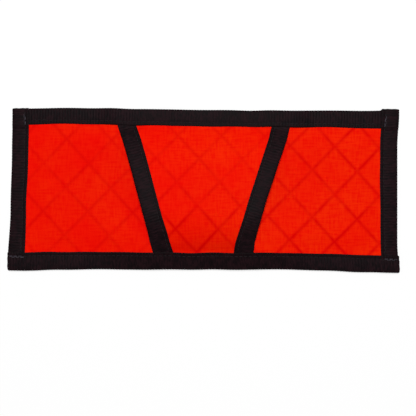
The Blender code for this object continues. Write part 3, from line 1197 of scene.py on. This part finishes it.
@dataclass
class HandPocket:
    """The pocket's front, in two halves that bend from the sewn hems to the lifted middle."""

    wardrobe: Wardrobe
    tape: FoldedTape
    stitches: StitchTree
    grid: YarnGrid = YarnGrid(
        falling=17.6 * MM, rising=7.2 * MM, falling_pitch=32.8 * MM, rising_pitch=32.4 * MM)
    yarn_reach: float = 3 * MM
    yarn_under: float = -2 * MM
    yarn_shows: Stops = ((-40 * MM, 1.0), (0.0, 0.64), (45 * MM, 0.52))
    bow: float = 2.6 * MM
    drift: dict[Side, Stops] = field(default_factory=lambda: {
        Side.LEFT: in_mm((-66, 0.9), (-50, 0.0), (-25, -1.0), (48, -1.0), (66, -2.1)),
        Side.RIGHT: in_mm((-66, -0.2), (-50, -1.4), (-15, -1.3), (18, -0.5), (50, 0.3), (66, -1.4))})
    wider: dict[Side, float] = field(default_factory=lambda: {Side.LEFT: 0.9 * MM, Side.RIGHT: 0.4 * MM})
    flare: float = 1.5 * MM
    flare_start: float = -25 * MM
    fold_take: float = 2.4 * MM
    mouth_high: float = 1.3 * MM
    mouth_low: float = -2.7 * MM
    rib_clear: float = 0.3 * MM
    still: float = 7 * MM
    tuck: float = 9 * MM
    hem_short: float = 3 * MM
    lining_gap: float = 0.15 * MM
    lining_room: float = 1.8 * MM
    lining_cell: float = 1.4 * MM
    lining_columns: int = 101
    nub: float = 0.5 * MM
    nub_seed: int = 11
    reach_samples: int = 400
    most_stitches: int = 60
    hem_gap: float = 1.5 * MM
    bobbin_room: float = 1 * MM

    def _lifted(self, x: Array, y: Array, lift: Array) -> Array:
        """Points at a distance in front of the shell's back face.

        The mouths are drawn in where the arch stands high, as a taut edge is, and each wanders.

        Args:
            x: Places across the ruled pocket.
            y: Heights up it.
            lift: Distance of each point.

        Returns:
            The points, with x, y and z on the last axis.
        """
        arch, slope = PLAN.arch(y), PLAN.arch_slope(y)
        length = np.hypot(1, slope)
        share = np.clip(x / PLAN.mouth_x(y), -1, 1)
        left, right = [wander(self.drift[side], y) for side in Side]
        drawn = x - self.bow * ((arch - PLAN.hem_back) / PLAN.rise) * share
        drawn = drawn + left * (1 - share) / 2 + right * (1 + share) / 2
        return np.stack([drawn, y - lift * slope / length, arch + lift / length], axis=-1)

    def _join(self, piece: Object, half: Half, slot: str, *nodes: str) -> None:
        """Hide the CAD nodes that a piece stands for, and bake its placement into its mesh.

        Args:
            piece: The piece.
            half: The half of the pocket that it belongs to; not used.
            slot: Name of a material slot; not used.
            nodes: The CAD nodes that it stands for.
        """
        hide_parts(*nodes)
        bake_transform(piece)

    def _cut(self, half: Half, hem: float) -> tuple[Corners, Pair, float]:
        """Cut one half of a cloth.

        Args:
            half: The half.
            hem: Distance from the middle of the panel to its hemmed end.

        Returns:
            The corners, anticlockwise, the width and length, and the area.
        """
        low, high = sorted((PLAN.split_y, half.value * hem))
        narrow, wide = [float(PLAN.mouth_x(y)) - PLAN.cloth_inset for y in (low, high)]
        corners = [(-narrow, low), (narrow, low), (wide, high), (-wide, high)]
        return corners, (2 * wide, high - low), (narrow + wide) * (high - low)

    def _shell(self, half: Half) -> Object:
        """Make one half of the sailcloth front with its hem.

        Args:
            half: The half.

        Returns:
            The piece.
        """
        corners, flat, area = self._cut(half, PLAN.cloth_y - self.hem_short)
        plane, faces = self.grid.cut(corners)
        x, y = plane[:, 0], plane[:, 1]
        yarn = self.grid.yarn(x, y)
        free = smooth(PLAN.hem_y - np.abs(y), 0, self.yarn_reach)
        free *= smooth(PLAN.mouth_x(y) - np.abs(x) - PLAN.mouth_leg, self.yarn_under, self.yarn_reach)
        points = self._lifted(x, y, PLAN.shell_thickness + self.grid.height * yarn * free)
        piece = new_piece(f"sailcloth_pocket_{half.name.lower()}", points, faces, self.wardrobe.laminate)
        mark(piece, "yarn", yarn * wander(self.yarn_shows, y))
        thicken(piece, PLAN.shell_thickness)
        hem = "pocket_top_hem" if half is Half.UPPER else "pocket_bottom_hem"
        self._join(piece, half, "sailcloth", "pocket_shell", hem)
        return piece

    def _lining(self, half: Half) -> Object:
        """Make one half of the fleece lining, nubbly on its inner face, as far as the arch leaves room.

        Args:
            half: The half.

        Returns:
            The piece.
        """
        places = np.linspace(PLAN.split_y, half.value * PLAN.hem_y, self.reach_samples)
        fits = PLAN.arch(places) - PLAN.base_front > PLAN.lining_thickness + self.lining_room
        corners, flat, area = self._cut(half, abs(places[fits][-1]))
        ys = np.linspace(corners[1][1], corners[2][1], int(flat[1] / self.lining_cell))
        across = np.linspace(-1, 1, self.lining_columns)
        y, share = [places.ravel() for places in np.meshgrid(ys, across, indexing="ij")]
        x = share * (PLAN.mouth_x(y) - PLAN.cloth_inset)
        nub = self.nub * np.random.default_rng(self.nub_seed).random(len(x))
        outer = self._lifted(x, y, np.full(len(x), -self.lining_gap))
        inner = self._lifted(x, y, -PLAN.lining_thickness - nub)
        front = grid_faces(len(ys), len(across))
        back = [tuple(i + len(x) for i in face[::-1]) for face in front]
        numbers = np.arange(len(x)).reshape(len(ys), len(across))
        rim = [*numbers[0], *numbers[1:, -1], *numbers[-1, -2::-1], *numbers[-2:0:-1, 0]]
        walls = [(int(b), int(a), int(a) + len(x), int(b) + len(x)) for a, b in zip(rim, rim[1:] + rim[:1])]
        name = f"fleece_lining_{half.name.lower()}"
        piece = new_piece(name, np.vstack([outer, inner]), front + back + walls, self.wardrobe.fleece)
        self._join(piece, half, "fleece", "pocket_lining")
        return piece

    def _across(self, side: Side, y: Array, depth: Array) -> tuple[Array, Array]:
        """Places square in from a mouth's edge, at a depth from it."""
        x = PLAN.mouth_x(y) - depth / PLAN.slant
        return side.value * x, y + depth * PLAN.slope / PLAN.slant

    def _leg(self, side: Side, y: Array) -> Array:
        """Width of a mouth tape that shows on each face, wider where it runs down to the bottom hem."""
        return PLAN.mouth_leg + self.wider[side] + self.flare * smooth(y, self.flare_start, -PLAN.hem_y)

    def _room(self, y: Array) -> Array:
        """How far the shell's back face stands off the base, less what keeps a rib clear."""
        return PLAN.arch(y) - PLAN.base_front - self.rib_clear

    def _tape(self, side: Side, half: Half) -> Object:
        """Make one half of a mouth tape.

        Args:
            side: The mouth.
            half: The half of the pocket.

        Returns:
            The piece.
        """
        turn = PLAN.mouth_leg * PLAN.slope / PLAN.slant / 2
        ends = (PLAN.split_y - turn, half.value * (PLAN.hem_y + self.tuck) - turn)
        y = np.sort(np.arange(ends[0], ends[1], half.value * (self.tape.step / PLAN.slant)))
        low = -np.minimum(-self.mouth_low, self._room(y))
        depth, lift, near = self.tape.section(self._leg(side, y), low, np.full(y.shape, self.mouth_high))
        x, level = self._across(side, np.repeat(y[:, None], depth.shape[1], axis=1), depth)
        points = self._lifted(x, level, np.maximum(lift, -self._room(level)))
        name = f"{side.name.lower()}_mouth"
        piece = self.tape.make(f"{name}_tape_{half.name.lower()}", points, near, (y - ends[0]) * PLAN.slant,
                               side is Side.LEFT, self.wardrobe.tape)
        self._join(piece, half, "binding_tape", name + "_binding")
        return piece

    def _seam(self, side: Side, half: Half, face: Face) -> Object:
        """Sew one half of a row along a mouth tape.

        Args:
            side: The mouth.
            half: The half of the pocket.
            face: The face that the row shows on.

        Returns:
            The piece.
        """
        turn = (PLAN.mouth_leg - PLAN.stitch_inset) * PLAN.slope / PLAN.slant
        step = self.stitches.spacing / PLAN.slant
        y = PLAN.split_y - turn + half.value * step * (np.arange(self.most_stitches) + 0.5)
        x, level = self._across(side, y, self._leg(side, y) - PLAN.stitch_inset)
        sewn = np.abs(level) < PLAN.hem_y - self.hem_gap
        if face is Face.BOBBIN:
            sewn &= self._room(level) > self.bobbin_room - self.mouth_low
        x, level = x[sewn], level[sewn]
        lift = self.mouth_high if face is Face.NEEDLE else self.mouth_low
        points = self._lifted(x, level, np.full(level.shape, lift))
        slope = PLAN.arch_slope(level)
        flat, ones = np.zeros(level.shape), np.ones(level.shape)
        along = np.stack([side.value * PLAN.slope * ones, ones, slope], axis=1)
        out = face.value * np.stack([flat, -slope, ones], axis=1)
        name = f"{side.name.lower()}_mouth_{face.name.lower()}"
        piece = self.stitches.sew(
            f"{name}_stitches_{half.name.lower()}", points, along, out, flat, self.wardrobe.thread)
        self._join(piece, half, "sewing_thread", name + "_thread")
        return piece

    def build(self) -> list[Object]:
        """Build the pocket.

        Returns:
            The pieces.
        """
        made = []
        for half in Half:
            made += [self._lining(half), self._shell(half)]
            for side in Side:
                made.append(self._tape(side, half))
                made += [self._seam(side, half, face) for face in Face]
        return made


@dataclass
class Studio:
    """A pale floor, soft light from above and the camera over the muff."""

    pixel: float = 1.036 * MM
    frame_pixels: int = 416
    middle_pixel: Pair = (203.6, 189.3)
    distance: float = 700 * MM
    level: float = 5 * MM
    sensor: float = 36.0
    floor_size: float = 3.0
    floor_colour: str = "#F4F4F4"
    floor_roughness: float = 0.9
    white_share: float = 0.7
    white_strength: float = 1.05
    fill: float = 0.18
    key_place: tuple[float, float, float] = (0.0, 0.76, 2.9)
    key_size: float = 0.6
    key_power: float = 77.0

    def _seen(self, bench: NodeBench) -> Node:
        """Tell rays that show the background, to the eye or in a gleam, from rays that light the muff.

        Args:
            bench: The tree that gets the nodes.

        Returns:
            A node that gives 1 for a ray that shows the background.
        """
        rays = bench.add("LightPath").outputs
        gleam = bench.add("Math", {0: rays["Is Camera Ray"], 1: rays["Is Glossy Ray"]}, operation="MAXIMUM")
        return bench.add("Math", {0: gleam, 1: rays["Is Transmission Ray"]}, operation="MAXIMUM")

    def _floor(self) -> None:
        """Lay the floor."""
        half = self.floor_size / 2
        mesh = bpy.data.meshes.new("floor")
        mesh.from_pydata([(-half, -half, 0), (half, -half, 0), (half, half, 0), (-half, half, 0)], [],
                         [(0, 1, 2, 3)])
        # To the eye: plain white, with only the muff's soft shadow on it.
        material = bpy.data.materials.new("matt white paper")
        material.use_nodes = True
        bench = NodeBench(material.node_tree)
        paper = bench.tree.nodes["Principled BSDF"]
        plug(paper, {"Base Color": linear(self.floor_colour), "Roughness": self.floor_roughness,
                     "Specular IOR Level": 0.0})
        share = bench.add("Math", {0: self._seen(bench), 1: self.white_share}, operation="MULTIPLY")
        white = bench.add("Emission", {"Color": (1, 1, 1, 1), "Strength": self.white_strength})
        mixed = bench.add("MixShader", {0: share, 1: paper, 2: white})
        plug(bench.tree.nodes["Material Output"], {"Surface": mixed})
        mesh.materials.append(material)
        stand("floor", mesh)

    def _world(self) -> None:
        """Set a world that is white to the eye and gives a low fill light."""
        world = bpy.data.worlds.new("soft white room")
        world.use_nodes = True
        bench = NodeBench(world.node_tree)
        strength = bench.add("Math", {
            0: self._seen(bench), 1: 1 - self.fill, 2: self.fill}, operation="MULTIPLY_ADD")
        plug(bench.tree.nodes["Background"], {"Color": (1, 1, 1, 1), "Strength": strength})
        bpy.context.scene.world = world

    def _key(self) -> None:
        """Hang the square key lamp, facing the muff."""
        lamp = bpy.data.lights.new("key", "AREA")
        lamp.size = self.key_size
        lamp.energy = self.key_power
        key = stand("key", lamp, self.key_place)
        key.rotation_euler = (-Vector(self.key_place)).to_track_quat("-Z", "Y").to_euler()

    def _camera(self) -> None:
        """Set the camera over the muff, framed as in the photograph."""
        data = bpy.data.cameras.new("camera")
        data.sensor_width = self.sensor
        data.lens = self.sensor * (self.distance - self.level) / (self.frame_pixels * self.pixel)
        centre = self.frame_pixels / 2
        x = (centre - self.middle_pixel[0]) * self.pixel
        y = (self.middle_pixel[1] - centre) * self.pixel
        bpy.context.scene.camera = stand("camera", data, (x, y, self.distance))

    def build(self) -> None:
        """Build the studio."""
        bpy.context.scene.view_settings.view_transform = "Standard"
        self._world()
        self._floor()
        self._key()
        self._camera()


def main() -> None:
    """Build the muff and its studio, and report each piece."""
    logging.basicConfig(level=logging.INFO, format="%(name)s: %(message)s")
    Studio().build()
    wardrobe = Wardrobe()
    tape, stitches = FoldedTape(), StitchTree()
    for assembly in (BasePanel(wardrobe), HandPocket(wardrobe, tape, stitches),
                     EdgeBinding(wardrobe, tape, stitches)):
        for piece in assembly.build():
            LOG.info("%s: %d faces", piece.name, len(piece.data.polygons))


if __name__ == "__main__":
    main()
